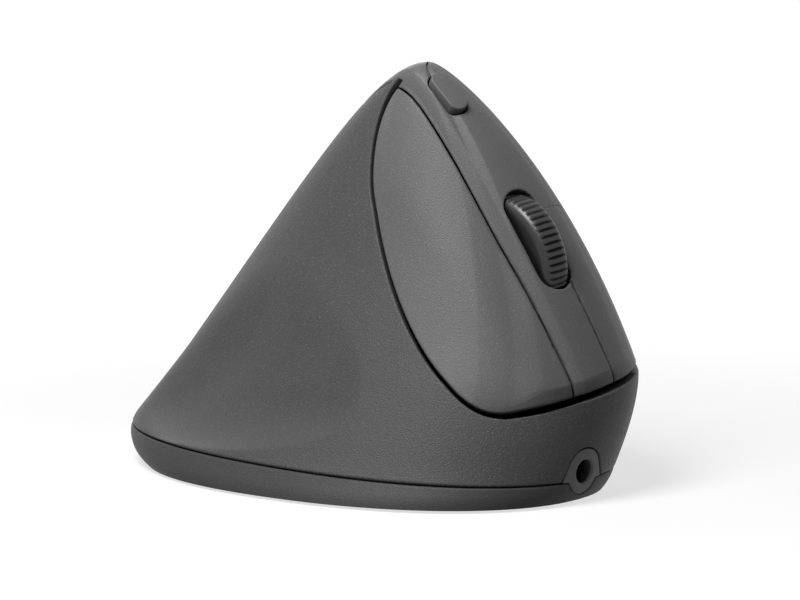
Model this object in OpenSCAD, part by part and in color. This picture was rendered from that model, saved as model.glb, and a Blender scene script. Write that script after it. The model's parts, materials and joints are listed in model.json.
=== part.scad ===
// Vertical mouse: a fin-shaped hand rest with a thumb dish, two buttons either side of a raised spine,
// a ribbed scroll wheel, a small oblong button near the peak and a collar for the lead.
// Millimetres. +Z is up, the front (button ends, lead collar) faces -Y and the thumb side faces -X.
// The origin lies on the table, under the middle of the body.

/* [Body] */
// Height of the peak above the table
body_h = 74; // [70:0.2:78]
// Sideways place of the peak
peak_x = 3.9; // [2:0.1:5.6]
// Lengthwise place of the peak
peak_y = -9.9; // [-12:0.1:-8]
// Reach of the thumb side at the table
thumb_reach = 33.8; // [31:0.1:38]
// Reach of the finger side at the table
finger_reach = 37.9; // [34:0.1:42]
// Reach of the front at the table, before it is drawn in
front_reach = 56.9; // [54:0.1:61]
// Reach of the back at the table, before it is drawn in
back_reach = 54.3; // [50:0.1:60]
// Squareness of the level sections, where 2 is an ellipse
squareness = 2.2; // [2:0.05:2.6]
// How far the lower edge of the body is rounded in
foot_tuck = 0.8; // [0.3:0.1:1.5]
// Height over which the lower edge is rounded in
foot_tuck_h = 3; // [2:0.5:4]
// How far the back is drawn in at the table
back_tuck = 12.7; // [10:0.1:14]
// Height over which the back is drawn in
back_tuck_h = 8.8; // [7:0.1:10]
// How far the front wall is drawn in below the buttons
front_tuck = 10.2; // [8:0.1:12]
// How far the finger side is drawn in below the buttons
finger_tuck = 9.8; // [7:0.1:11]
// Height over which the front wall is drawn in
front_tuck_h = 21; // [19:0.5:23]

/* [Thumb dish] */
// Depth of the dish
dish_depth = 3.5; // [1:0.1:4]
// Height of the dish's deepest level
dish_z = 16; // [15:0.5:18]
// Rise of the dish above that level
dish_up = 23.5; // [18:0.5:25]
// Drop of the dish below that level
dish_down = 9.6; // [8:0.1:9.8]
// Bearing of the dish's middle, in degrees from the front
dish_turn = 118; // [110:1:126]
// Half spread of the dish towards the front, in degrees
dish_front_spread = 40; // [32:1:44]
// Half spread of the dish towards the back, in degrees
dish_back_spread = 34; // [28:1:44]

/* [Shells] */
// Wall of the main shell
shell_wall = 2; // [1.6:0.1:2.6]
// Wall of the spine cover and the buttons
lid_wall = 1.8; // [1.5:0.1:2.2]
// Height of the parting line at the middle of the body
parting_z = 5.4; // [5:0.1:6]
// Slope of the parting line, falling to the front, in degrees
parting_slope = 1.6; // [0.5:0.1:2.2]
// Open line between the main shell and the base plate
parting_gap = 0.2; // [0.1:0.05:0.4]
// Height of the base plate's underside above the table
base_lift = 0.5; // [0.3:0.1:0.8]
// Thickness of the base plate's floor
base_floor = 2; // [1.6:0.1:2.4]

/* [Seams] */
// Open line between the shell and the button panels
seam_gap = 0.6; // [0.5:0.05:0.8]
// Open line under the buttons' front ends
front_gap = 1.2; // [0.9:0.1:1.6]
// Open lines beside the spine
spine_gap = 0.5; // [0.4:0.05:0.7]
// Open line at the bending end of the secondary button
bend_gap = 0.2; // [0.15:0.05:0.3]
// Height of the front line straight ahead
front_line_z = 19.55; // [18.5:0.05:20.5]
// Fall of the front line towards the thumb, per degree
front_line_fall = 0.093; // [0.07:0.001:0.11]
// Sideways place of the line between the primary button and the spine, at its foot
spine_left_x = -3.6; // [-4.4:0.1:-3]
// Sideways place of that line halfway up
spine_left_mid_x = -3.3; // [-4:0.1:-2.8]
// Step from the primary button up to the spine
spine_step = 0.8; // [0.3:0.1:1.2]
// Width of the bevel along the spine's left edge
spine_bevel_w = 2; // [1.5:0.1:2.6]
// Bevel on the front ends of the buttons
end_bevel = 0.7; // [0.4:0.1:1.2]

/* [Wheel] */
// Radius over the tread
wheel_r = 11.5; // [11:0.1:12]
// Width of the tread
wheel_w = 5.5; // [5:0.1:6]
// How far the tread stands out of the spine
wheel_proud = 3.2; // [2.6:0.1:3.6]
// Sideways place of the wheel
wheel_x = 1.7; // [1.3:0.1:2.1]
// Height of the slot's middle on the spine
wheel_z = 44.4; // [43:0.2:46]
// Slope of the spine, in degrees from level
spine_slope = 57.5; // [56:0.5:59]
// Lean of the wheel towards the thumb, in degrees
wheel_lean = 18; // [14:1:20]
// Ribs round the tread
rib_count = 56; // [44:2:60]
// Depth of the grooves between the ribs
rib_depth = 0.45; // [0.3:0.05:0.6]
// Thickness of the rubber tread
tyre_t = 2; // [1.6:0.1:2.6]
// Radius of the axle
axle_r = 1.25; // [1:0.05:1.5]
// Gap at each side of the wheel in its slot
slot_side_gap = 0.65; // [0.5:0.05:0.9]
// Length of the slot along the spine
slot_l = 19.5; // [18.5:0.5:20.5]

/* [Small button] */
// Length of the oblong button
dpi_l = 8.6; // [7:0.1:9]
// Width of the oblong button
dpi_w = 3.6; // [3:0.1:4]
// How far the button stands out of the spine
dpi_proud = 0.8; // [0.5:0.1:1.2]
// Sideways place of its middle
dpi_x = 0.9; // [0.5:0.1:1.5]
// Drop of its middle below the peak
dpi_drop = 5.2; // [4.6:0.2:6]
// Slope of the spine at the button, in degrees
dpi_slope = 44; // [42:1:48]
// Lean of the button towards the thumb, in degrees
dpi_lean = 24; // [18:1:27]
// Gap round the button
dpi_gap = 0.3; // [0.25:0.05:0.4]

/* [Switches] */
// Length of a button switch
switch_l = 12.8; // [12:0.1:13]
// Width of a button switch
switch_w = 5.8; // [5.4:0.1:6]
// Height of a button switch
switch_h = 6.5; // [6:0.1:6.6]
// Travel of a push pin
pin_travel = 0.6; // [0.4:0.05:0.7]
// Gap between a push pin and what presses it
pin_gap = 0.15; // [0.1:0.05:0.25]
// Side of a small square switch
tact_w = 6; // [5.5:0.1:6.2]
// Height of a small square switch
tact_h = 3.5; // [3.2:0.1:3.8]

/* [Boards] */
// Thickness of the circuit boards
board_t = 1.2; // [1:0.1:1.6]
// Depth of the tilted board's face below the axle
board_drop = 9; // [8.8:0.1:9.6]
// Height of the main board's underside above the base floor
board_stand = 3; // [2.6:0.1:3.6]
// Thickness of the frame's plates
frame_t = 1.8; // [1.5:0.1:2.2]

/* [Lead collar] */
// Radius of the hole for the lead
lead_r = 2; // [1.5:0.1:2.3]
// Outer radius of the collar
collar_r = 4; // [3.6:0.1:4.2]
// How far the collar spreads at the parting line
collar_flare = 1.2; // [0.6:0.1:1.6]
// Sideways place of the collar
collar_x = -2.6; // [-4:0.1:-1]
// Height of the hole's middle
collar_z = 5.6; // [5.4:0.1:6]
// Depth of the collar from the front
collar_d = 7; // [6:0.5:8]

/* [Fasteners and feet] */
// Radius of the case screws' shanks
screw_r = 1.1; // [0.9:0.05:1.3]
// Radius of the case screws' heads
screw_head_r = 2.1; // [1.8:0.1:2.4]
// Clearance between fixed pieces
fit = 0.15; // [0.1:0.05:0.25]
// Thickness of the glide feet
foot_t = 0.7; // [0.6:0.05:0.9]

/* [Hidden] */
$fn = 32;

// Fullness of the four side profiles: two inner control values each, from the peak down
thumb_full = [-7.9, 0.3];
finger_full = [10.9, 28.8];
front_full = [-14.2, -40.6];
back_full = [-1.2, 24.8];
// The arched seam on the thumb side: bearing and height of its four control points
seam_foot = [38, front_line_z - front_line_fall * 38];
seam_pull_low = [63.4, seam_foot[1] - front_line_fall * 25.4];
seam_pull_high = [85.5, 44.8];
seam_top = [107.5, body_h - 2.7];
// Bearing of the corner where the front line turns up the finger side
finger_corner = [343, front_line_z + front_line_fall * 17];
// Points along the front line, the arched seam and the seam over the back
front_steps = 10;
arch_steps = 18;
back_steps = 28;
seam_steps = front_steps + arch_steps + back_steps;
shell_rows = 12;
lid_rows = 15;
pole_share = 0.03;
far = 120;

// Shape of the body
function mix(a, b, s) = a + (b - a) * s;
function ease(s) = s * s * (3 - 2 * s);
function clip(s) = max(0, min(1, s));
function curve(a, b, c, d, s) =
    a * pow(1 - s, 3) + 3 * b * s * pow(1 - s, 2) + 3 * c * s * s * (1 - s) + d * pow(s, 3);
function down(z) = sqrt(max(0, 1 - z / body_h));
function height_at(s) = body_h * (1 - s * s);
function foot_in(z) = foot_tuck * pow(max(0, 1 - z / foot_tuck_h), 2);
function back_in(z) = back_tuck * pow(max(0, 1 - z / back_tuck_h), 2);
function front_in(z) = pow(max(0, 1 - z / front_tuck_h), 1.25);
function thumb_x(z) = curve(peak_x, thumb_full[0], thumb_full[1], -thumb_reach, down(z)) + foot_in(z);
function finger_x(z) = curve(peak_x, finger_full[0], finger_full[1], finger_reach, down(z))
    - foot_in(z) - finger_tuck * front_in(z);
function front_y(z) = curve(peak_y, front_full[0], front_full[1], -front_reach, down(z))
    + foot_in(z) + front_tuck * front_in(z);
function back_y(z) = curve(peak_y, back_full[0], back_full[1], back_reach, down(z)) - foot_in(z) - back_in(z);
function mid_x(z) = (thumb_x(z) + finger_x(z)) / 2;
function mid_y(z) = (front_y(z) + back_y(z)) / 2;
function half_x(z) = (finger_x(z) - thumb_x(z)) / 2;
function half_y(z) = (back_y(z) - front_y(z)) / 2;
function bulge(s) = sign(s) * pow(abs(s), 2 / squareness);
// Point of the plain skin at a bearing from the front, turning towards the thumb, and a height
function skin(turn, z) = [
    mid_x(z) - half_x(z) * bulge(sin(turn)),
    mid_y(z) - half_y(z) * bulge(cos(turn)),
    z];
function along_turn(turn, z) = skin(turn + 1, z) - skin(turn - 1, z);
function along_rise(turn, z) = skin(turn, height_at(down(z) - 0.01)) - skin(turn, height_at(down(z) + 0.01));
function unit(v) = v / norm(v);
function skin_out(turn, z) = unit(cross(along_rise(turn, z), along_turn(turn, z)));
// Bearing at which the front of the skin has a given sideways place
function turn_at(x, z) = let (s = (mid_x(z) - x) / half_x(z))
    asin(sign(s) * pow(min(1, abs(s)), squareness / 2));
function front_point(x, z) = skin(turn_at(x, z), z);

// The dish is a bowl with a crisp rim towards the front and below that fades out towards the back and the top
function dish_side(turn) = (turn - dish_turn) / (turn < dish_turn ? dish_front_spread : dish_back_spread);
function dish_rise(z) = (z - dish_z) / (z > dish_z ? dish_up : dish_down);
function dish_reach(turn, z) = let (power = mix(2.5, 1.75, ease(clip((z - dish_z) / 8 + 0.5))))
    pow(abs(dish_side(turn)), power) + pow(abs(dish_rise(z)), power);
function dish_fade(turn, z) = clip(max(dish_side(turn), 0) + max(dish_rise(z), 0));
function dish(turn, z) = let (r = dish_reach(turn, z))
    r < 1 ? dish_depth * pow(1 - r, mix(0.9, 2, dish_fade(turn, z))) : 0;
function shell_point(turn, z, inset) = skin(turn, z) - (inset + dish(turn, z)) * skin_out(turn, z);

// The seam round the spine cover and the buttons, as bearing and height
function front_line(turn) = [turn, front_line_z - front_line_fall * turn];
function seam_mark(i) = let (k = (i + seam_steps) % seam_steps)
    k < front_steps ? front_line(mix(finger_corner[0] - 360, seam_foot[0], k / front_steps))
    : k < front_steps + arch_steps ? let (s = (k - front_steps) / arch_steps)
        curve(seam_foot, seam_pull_low, seam_pull_high, seam_top, s)
    : let (s = (k - front_steps - arch_steps) / back_steps)
        [mix(seam_top[0], finger_corner[0], s), mix(seam_top[1], finger_corner[1], ease(s))];
function seam_half(i) = let (k = i - front_steps)
    (k < -1 || i > seam_steps - 2 ? front_gap : k < 4 ? mix(front_gap, seam_gap, (k + 1) / 5) : seam_gap) / 2;
// The same seam moved aside on the skin: above zero towards the peak
function seam_beside(i, aside) = let (
    m = seam_mark(i),
    run = skin(seam_mark(i + 1)[0], seam_mark(i + 1)[1]) - skin(seam_mark(i - 1)[0], seam_mark(i - 1)[1]),
    step = aside * unit(cross(run, skin_out(m[0], m[1]))),
    a = along_turn(m[0], m[1]) / 2,
    b = along_rise(m[0], m[1]) / (height_at(down(m[1]) - 0.01) - height_at(down(m[1]) + 0.01)),
    det = (a * a) * (b * b) - (a * b) * (a * b))
    [m[0] + ((step * a) * (b * b) - (step * b) * (a * b)) / det,
     m[1] + ((step * b) * (a * a) - (step * a) * (a * b)) / det];

// A solid through a list of rings of equal length, either closed on itself or capped at both ends
module ring_stack(rings, capped) {
    n = len(rings[0]);
    count = len(rings);
    links = capped ? count - 1 : count;
    sides = [for (r = [0:links - 1], i = [0:n - 1]) let (
        s = (r + 1) % count,
        j = (i + 1) % n)
        each [[r * n + i, s * n + i, s * n + j], [r * n + i, s * n + j, r * n + j]]];
    caps = capped ? [[for (i = [0:n - 1]) i], [for (i = [n - 1:-1:0]) (count - 1) * n + i]] : [];
    polyhedron([for (ring = rings, p = ring) p], concat(sides, caps));
}

// The whole body as one solid, drawn in by an inset
module body_core(inset) {
    rows = 20;
    ring_stack([for (r = [0:rows]) let (z = height_at(mix(down(base_lift + inset), pole_share, r / rows)))
        [for (i = [0:47]) skin(-i * 7.5, z) - inset * skin_out(-i * 7.5, z)]], true);
}

// Sink of the button panels below the skin: a step at the spine's left line, then a bevel up to its crest
// That line lies in a plane through three points of the skin: its foot, halfway up and its top
spine_foot = front_point(spine_left_x, seam_foot[1] + 3);
spine_mid = front_point(spine_left_mid_x, mix(seam_foot[1], seam_top[1], 0.64));
spine_top = skin(seam_top[0] + 2.5, seam_top[1] - 0.6);
spine_across = unit(cross(spine_top - spine_foot, spine_mid - spine_foot));
sink_w = 9;
function beside_spine(p) = (p - spine_foot) * spine_across;
function lid_sink(p, turn) = let (off = beside_spine(p))
    turn > seam_top[0] + 4 || turn < -60 || off > spine_bevel_w ? 0
    : off > 0 ? spine_step * (1 - off / spine_bevel_w)
    : spine_step * (1 - ease(clip(-off / sink_w)));
function end_sink(i, r) = r > 0 ? 0 : let (k = i < seam_steps / 2 ? i : i - seam_steps)
    end_bevel * clip((front_steps + 3 - k) / 3) * clip(k / 3);
end_share = 0.05;
function lid_row(r) = r == 0 ? 0 : mix(end_share, 1, (r - 1) / (lid_rows - 1));
function lid_point(i, r, inset) = let (
    m = seam_beside(i, seam_half(i)),
    z = height_at(mix(down(m[1]), pole_share, lid_row(r))),
    p = skin(m[0], z))
    p - (inset + lid_sink(p, m[0]) + end_sink(i, r)) * skin_out(m[0], z);
// The upper part of the body above the seam, before it is parted into spine cover and buttons
module lid() {
    ring_stack(concat(
        [for (r = [lid_rows:-1:0]) [for (i = [0:seam_steps - 1]) lid_point(i, r, 0)]],
        [for (r = [0:lid_rows]) [for (i = [0:seam_steps - 1]) lid_point(i, r, lid_wall)]]), true);
}

// Places of the wheel and the small button, taken from the skin
crest = wheel_r - wheel_proud;
spine_x = [cos(wheel_lean), -sin(wheel_lean) * sin(spine_slope), sin(wheel_lean) * cos(spine_slope)];
spine_y = [0, cos(spine_slope), sin(spine_slope)];
spine_z = cross(spine_x, spine_y);
axle = front_point(wheel_x, wheel_z) - crest * spine_z;
dpi_place = front_point(dpi_x, body_h - dpi_drop);
slot_w = wheel_w + 2 * slot_side_gap;
seam_right = 2.2;
seam_skew = 2.6;
bend_y = 5;
function spine_point(x, y, z) = axle + x * spine_x + y * spine_y + z * spine_z;
module on_spine() { translate(axle) rotate([spine_slope, 0, 0]) rotate([0, -wheel_lean, 0]) children(); }
module on_peak() { translate(dpi_place) rotate([dpi_slope, 0, 0]) rotate([0, -dpi_lean, 0]) children(); }
module oblong(l, w) { hull() for (s = [-1, 1]) translate([0, s * (l - w) / 2]) circle(d = w, $fn = 24); }

// Room of the primary button: the thumb side of the spine's left line, up to the seam's top, grown by a gap
panel_top_z = seam_top[1] - 1.3;
panel_back_y = max([for (i = [front_steps:front_steps + arch_steps - 2]) let (m = seam_mark(i)) skin(m[0], m[1])[1]]);
module primary_room(grow) {
    up = unit(cross(spine_across, [0, 1, 0]));
    side = cross(up, spine_across);
    intersection() {
        multmatrix([for (k = [0:2]) [spine_across[k], side[k], up[k], spine_foot[k]]])
            translate([-far + grow, -far, -far]) cube([far, 2 * far, 2 * far]);
        translate([spine_top[0] + 0.4, panel_back_y + 0.3, panel_top_z] + [1, 1, 1] * (grow - far)) cube(far);
    }
}
// Room of the secondary button, grown by a gap at its two inner edges. Its upper end leans away from the spine
// cover, so that it stays clear while the button tips about its bend line
bend_z = crest - 1;
bend_lean = 1.4;
module secondary_room(side_gap, end_gap, lean) {
    on_spine() rotate([0, 0, seam_skew]) translate([seam_right - side_gap, bend_y + end_gap, bend_z])
        rotate([-lean, 0, 0]) translate([0, -far, -far]) cube([far, far, 2 * far]);
}
module wheel_slot() {
    on_spine() {
        translate([0, 0, -far / 8]) linear_extrude(far / 4) oblong(slot_l, slot_w);
        rotate([0, 90, 0]) cylinder(r = wheel_r + slot_side_gap, h = slot_w, center = true, $fn = 48);
    }
}

// Board frame of reference: the tilted board's face lies at this height on the spine's axes
board_z = -board_drop;
primary_switch_x = -10.4;
secondary_switch_x = 7.8;
button_switch_y = -17;
pin_play = 0.2;
pin_top_z = board_z + switch_h + pin_travel + pin_play;
pin_r = 0.9;
pin_fit = 0.12;
post_r = 1.5;
tact_pin_r = 1.5;
tact_pin_rise = 0.9;
tact_floor = 1;
tact_top_z = board_z + tact_h + tact_pin_rise;
wheel_switch_x = 7.3;
// The small button's stem, followed down its own slant to the switch on the tilted board
function on_spine_axes(v) = [v * spine_x, v * spine_y, v * spine_z];
dpi_out = [-sin(dpi_lean), -sin(dpi_slope) * cos(dpi_lean), cos(dpi_slope) * cos(dpi_lean)];
dpi_stem_r = 1.2;
dpi_stem_tilt = dpi_stem_r * norm(cross(dpi_out, spine_z));
dpi_from = on_spine_axes(dpi_place - axle);
dpi_along = on_spine_axes(dpi_out);
dpi_stem_l = (dpi_from[2] - tact_top_z - pin_gap - dpi_stem_tilt) / dpi_along[2];
dpi_switch_at = dpi_from - dpi_stem_l * dpi_along;
module at_dpi_switch() { on_spine() translate([dpi_switch_at[0], dpi_switch_at[1], board_z]) children(); }

module main_shell() {
    color("#3f4042") resize([0, 0, 0]) difference() {
        union() {
            ring_stack(concat(
                [for (r = [0:shell_rows]) shell_ring(r / shell_rows, shell_wall)],
                [for (r = [shell_rows:-1:0]) shell_ring(r / shell_rows, 0)]), false);
            intersection() {
                body_core(shell_wall / 2);
                screw_places() translate([0, 0, boss_z]) boss();
            }
        }
        screw_places() cylinder(r = screw_r + fit, h = screw_seat + screw_l + screw_end_room, $fn = 16);
        collar_arch(fit);
    }
}
function parting_at(y) = parting_z + y * tan(parting_slope);
function shell_ring(s, inset) = [for (i = [0:seam_steps - 1]) let (
    top = seam_beside(i, -seam_half(i)),
    even = mix(finger_corner[0] - 360, finger_corner[0], i / seam_steps),
    turn = mix(mix(even, top[0], 0.5), top[0], s),
    foot_z = parting_at(skin(turn, parting_z)[1]) + parting_gap / 2)
    shell_point(turn, mix(foot_z, top[1], s), inset)];

// The tray below the parting line
function base_ring(z_share, inset) = [for (i = [0:47]) let (
    turn = i * 7.5,
    rim_z = parting_at(skin(turn, parting_z)[1]) - parting_gap / 2,
    z = mix(base_lift, rim_z, z_share))
    skin(turn, z) - inset * skin_out(turn, z)];
function floor_ring(z) = [for (p = base_ring(0.5, shell_wall)) [p[0], p[1], z]];
floor_z = base_lift + base_floor;
screw_marks = [[4, 37.5, 90], [-14, -20, 225], [19, -9.5, 0]];
module screw_places() { for (m = screw_marks) translate([m[0], m[1], 0]) rotate([0, 0, m[2]]) children(); }
boss_z = parting_z + 2;
boss_h = 9;
boss_wall = 1.8;
web_t = 1.6;
screw_seat = base_lift + 3;
screw_l = 10;
screw_end_room = 0.5;
post_wall = 1.2;
post_sink = 0.5;
board_post_r = 2.2;
// A hollow pillar with a web that ties it to the nearest wall
module boss() {
    cylinder(r = screw_r + boss_wall, h = boss_h, $fn = 16);
    translate([0, -web_t / 2, 0]) cube([far / 4, web_t, boss_h]);
}
foot_marks = [[0, -35.5, 22, 6], [-14, 26, 6, 14], [13, 26, 6, 10]];
foot_round = 2;
foot_glue = 0.05;
module feet_outline(grow) {
    for (m = foot_marks) translate([m[0], m[1]]) offset(r = grow) oblong_plate(m[2], m[3]);
}
module oblong_plate(w, l) {
    offset(r = foot_round) square([w, l] - 2 * foot_round * [1, 1], center = true);
}
sensor_y = 4.4;
sensor_hole_r = 3;
module base_plate() {
    color("#3a3b3d") difference() {
        union() {
            ring_stack(concat(
                [floor_ring(floor_z), base_ring(1, shell_wall)],
                [for (s = [1, 0.6, 0.3, 0.12, 0]) base_ring(s, 0)]), true);
            screw_places() translate([0, 0, floor_z - post_sink])
                cylinder(r = screw_head_r + post_wall, h = boss_z - parting_gap - floor_z + post_sink);
            board_posts() translate([0, 0, floor_z - post_sink])
                cylinder(r = board_post_r, h = board_stand + post_sink);
        }
        screw_places() translate([0, 0, -base_lift]) cylinder(r = screw_r + fit, h = far);
        screw_places() translate([0, 0, -base_lift])
            cylinder(r = screw_head_r + fit, h = screw_seat + base_lift);
        board_posts() translate([0, 0, floor_z]) cylinder(r = screw_r + fit, h = far);
        translate([0, sensor_y, -base_lift]) cylinder(r = sensor_hole_r, h = far);
        translate([0, 0, -base_lift]) linear_extrude(base_lift + foot_t + foot_glue) feet_outline(fit);
        collar_arch(fit);
    }
}

// Outline of the lead's collar: a round that spreads where it meets the parting line
collar_inset = 0.05;
module collar_arch(grow) {
    ahead = 4;
    flare_from = 20;
    r = collar_r + grow;
    foot = parting_at(front_y(collar_z)) - collar_z;
    shoulder = r * [cos(flare_from), sin(flare_from)];
    translate([collar_x, front_y(collar_z) - ahead, collar_z]) rotate([-90, 0, 0]) mirror([0, 1, 0])
        linear_extrude(collar_d + ahead + grow) union() {
            circle(r = r);
            polygon([[-shoulder[0], shoulder[1]], [-r - collar_flare, foot],
                [r + collar_flare, foot], shoulder]);
        }
}
module cable_grommet() {
    color("#2b2c2e") difference() {
        resize([0, 0, 0]) intersection() {
            collar_arch(0);
            body_core(collar_inset);
        }
        translate([collar_x, front_y(collar_z) - far / 2, collar_z]) rotate([-90, 0, 0])
            cylinder(r = lead_r, h = far);
    }
}

module spine_cover() {
    color("#424346") resize([0, 0, 0]) difference() {
        lid();
        primary_room(spine_gap / 2);
        secondary_room(spine_gap, bend_gap, 0);
        wheel_slot();
        on_peak() translate([0, 0, -far / 8]) linear_extrude(far / 4)
            oblong(dpi_l + 2 * dpi_gap, dpi_w + 2 * dpi_gap);
    }
}
module primary_button() {
    color("#434447") resize([0, 0, 0]) union() {
        intersection() {
            lid();
            primary_room(-spine_gap / 2);
        }
        button_post(primary_switch_x);
    }
}
module secondary_button() {
    color("#434447") resize([0, 0, 0]) union() {
        difference() {
            intersection() {
                lid();
                secondary_room(0, 0, bend_lean);
            }
            wheel_slot();
        }
        button_post(secondary_switch_x);
    }
}
// Post under a button that reaches down to its switch pin
module button_post(x) {
    intersection() {
        body_core(lid_wall / 2 + spine_step);
        on_spine() translate([x, button_switch_y, pin_top_z + pin_gap])
            cylinder(r = post_r, h = far / 8, $fn = 20);
    }
}
module dpi_button() {
    color("#3c3d40") union() {
        on_peak() translate([0, 0, -lid_wall]) linear_extrude(lid_wall + dpi_proud) oblong(dpi_l, dpi_w);
        on_peak() translate([0, 0, -dpi_stem_l]) cylinder(r = dpi_stem_r, h = dpi_stem_l);
    }
}

module wheel_tyre() {
    color("#1d1d1e") on_spine() rotate([0, 90, 0]) difference() {
        resize([0, 0, 0]) tread();
        translate([0, 0, -wheel_w]) cylinder(r = wheel_r - tyre_t, h = 2 * wheel_w);
    }
}
module tread() {
    pitch = 360 / rib_count;
    shoulder = 1;
    half = wheel_w / 2;
    intersection() {
        translate([0, 0, -half]) linear_extrude(wheel_w) polygon([for (i = [0:rib_count - 1]) each [
            for (k = [[0.06, rib_depth], [0.24, rib_depth], [0.3, 0], [1, 0]])
                (wheel_r - k[1]) * [cos((i + k[0]) * pitch), sin((i + k[0]) * pitch)]]]);
        rotate_extrude($fn = 64) polygon([[0, -half], [wheel_r - shoulder, -half], [wheel_r, shoulder - half],
            [wheel_r, half - shoulder], [wheel_r - shoulder, half], [0, half]]);
    }
}
arm_gap = 0.5;
arm_t = 1.2;
arm_in = wheel_w / 2 + arm_gap;
axle_end = 0.4;
encoder_w = 4;
encoder_h = 7;
module wheel_hub() {
    rim_r = wheel_r - tyre_t;
    rim_t = 1.5;
    hub_r = axle_r + 1.35;
    draft = 0.7;
    half = wheel_w / 2;
    color("#2e2f31") on_spine() rotate([0, 90, 0]) {
        rotate_extrude() polygon([[0, -half], [rim_r, -half], [rim_r, half], [rim_r - rim_t, half],
            [rim_r - rim_t - draft, half / 2], [hub_r + draft, half / 2], [hub_r, half], [0, half]]);
        translate([0, 0, -arm_in - arm_t - axle_end])
            cylinder(r = axle_r, h = 2 * (arm_in + arm_t) + encoder_w - 2 * axle_end);
    }
}
pivot_y = 15;
pivot_z = -3;
pivot_r = 1;
pivot_boss_r = 1.6;
pivot_end = 2;
ear_t = 1.4;
ear_gap = 0.4;
ear_r = 2.4;
module wheel_cradle() {
    color("#55585c") on_spine() difference() {
        union() {
            for (s = [-1, 1]) translate([s * (arm_in + arm_t / 2), 0, 0]) rotate([90, 0, 90])
                linear_extrude(arm_t, center = true) cradle_arm();
            translate([-arm_in - arm_t, wheel_r + 1, pivot_z - pivot_boss_r])
                cube([2 * (arm_in + arm_t), pivot_y - wheel_r, 2 * pivot_boss_r]);
            translate([-arm_in - arm_t - pivot_end, pivot_y, pivot_z]) rotate([0, 90, 0])
                cylinder(r = pivot_r, h = 2 * (arm_in + arm_t + pivot_end));
        }
        translate([-far / 2, 0, 0]) rotate([0, 90, 0]) cylinder(r = axle_r + fit, h = far);
    }
}
module cradle_arm() {
    hull() {
        circle(r = axle_r + 1.35);
        translate([pivot_y, pivot_z]) circle(r = pivot_boss_r);
    }
}
module wheel_encoder() {
    color("#6b6f74") on_spine() difference() {
        translate([arm_in + arm_t, -encoder_h / 2, -encoder_h / 2]) cube([encoder_w, encoder_h, encoder_h]);
        rotate([0, 90, 0]) cylinder(r = axle_r + fit, h = far);
    }
}
module cradle_bracket() {
    ear_x = arm_in + arm_t + ear_gap;
    color("#55585c") on_spine() difference() {
        union() {
            translate([-ear_x - ear_t, pivot_y - ear_r, board_z]) cube([2 * (ear_x + ear_t), 2 * ear_r, ear_t]);
            for (s = [-1, 1]) translate([s * (ear_x + ear_t / 2), pivot_y, board_z]) ear();
        }
        translate([-far / 2, pivot_y, pivot_z]) rotate([0, 90, 0]) cylinder(r = pivot_r + fit, h = far);
    }
}
module ear() {
    translate([-ear_t / 2, 0, 0]) rotate([90, 0, 90]) linear_extrude(ear_t) union() {
        translate([-ear_r, 0]) square([2 * ear_r, pivot_z - board_z]);
        translate([0, pivot_z - board_z]) circle(r = ear_r);
    }
}

board_front = 24;
board_back = 33;
module button_board() {
    outline = [[-14, -board_front], [11.5, -board_front], [13.5, 2], [10, 20],
        [4, board_back], [-5, board_back], [-11, 10], [-14, -9]];
    color("#2f5d43") on_spine() translate([0, 0, board_z - board_t]) linear_extrude(board_t) difference() {
        polygon(outline);
        square([slot_w + wheel_room / 5, 2 * sqrt(pow(wheel_r, 2) - pow(board_drop, 2)) + wheel_room], center = true);
        for (m = board_screw_marks) translate(m) circle(r = board_screw_r + fit);
    }
}
wheel_room = 3;
frame_marks = [-8, 7.5];
board_screw_r = 0.8;
frame_boss_r = 2;
frame_boss_h = 5;
board_screw_marks = [for (x = frame_marks, y = [-7, 6]) [x, y]];
module board_frame() {
    under = board_z - board_t;
    color("#4a4d52") difference() {
        union() {
            for (x = frame_marks) frame_plate(x, under - frame_t / 2 * tan(wheel_lean));
            translate([spine_point(frame_marks[0], 0, under)[0], frame_front, floor_z])
                cube([(frame_marks[1] - frame_marks[0]) * spine_x[0], frame_back - frame_front, frame_t]);
            on_spine() for (m = board_screw_marks) translate([m[0], m[1], under - frame_boss_h])
                cylinder(r = frame_boss_r, h = frame_boss_h);
        }
        on_spine() for (m = board_screw_marks) translate([m[0], m[1], board_z - pan_l - screw_end_room])
            cylinder(r = board_screw_r + fit, h = far / 8);
    }
}
frame_front = -31.6;
frame_back = -9.6;
frame_window_r = 4;
module frame_plate(x, under) {
    low = spine_point(x, -14, under);
    high = spine_point(x, 12, under);
    translate([low[0] - frame_t / 2, 0, 0]) rotate([90, 0, 90]) linear_extrude(frame_t) difference() {
        polygon([[frame_front, floor_z], [low[1], low[2]], [high[1], high[2]], [frame_back, floor_z]]);
        translate([(frame_front + frame_back + frame_window_r) / 2, floor_z + 2.25 * frame_window_r])
            circle(r = frame_window_r);
    }
}

module main_board() {
    color("#2f5d43") difference() {
        translate([0, board_y, floor_z + board_stand]) linear_extrude(board_t) offset(r = board_round)
            square(board_size - 2 * board_round * [1, 1], center = true);
        board_posts() cylinder(r = screw_r + fit, h = far);
        translate([0, sensor_y, 0]) cylinder(r = sensor_hole_r + lens_fit, h = far);
    }
}
board_y = sensor_y + 9;
board_size = [36, 38];
board_round = 3;
lens_fit = 0.4;
board_post_marks = [[-13, 8], [13, 6], [0, 28]];
module board_posts() { for (m = board_post_marks) translate([m[0], m[1], 0]) children(); }

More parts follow.
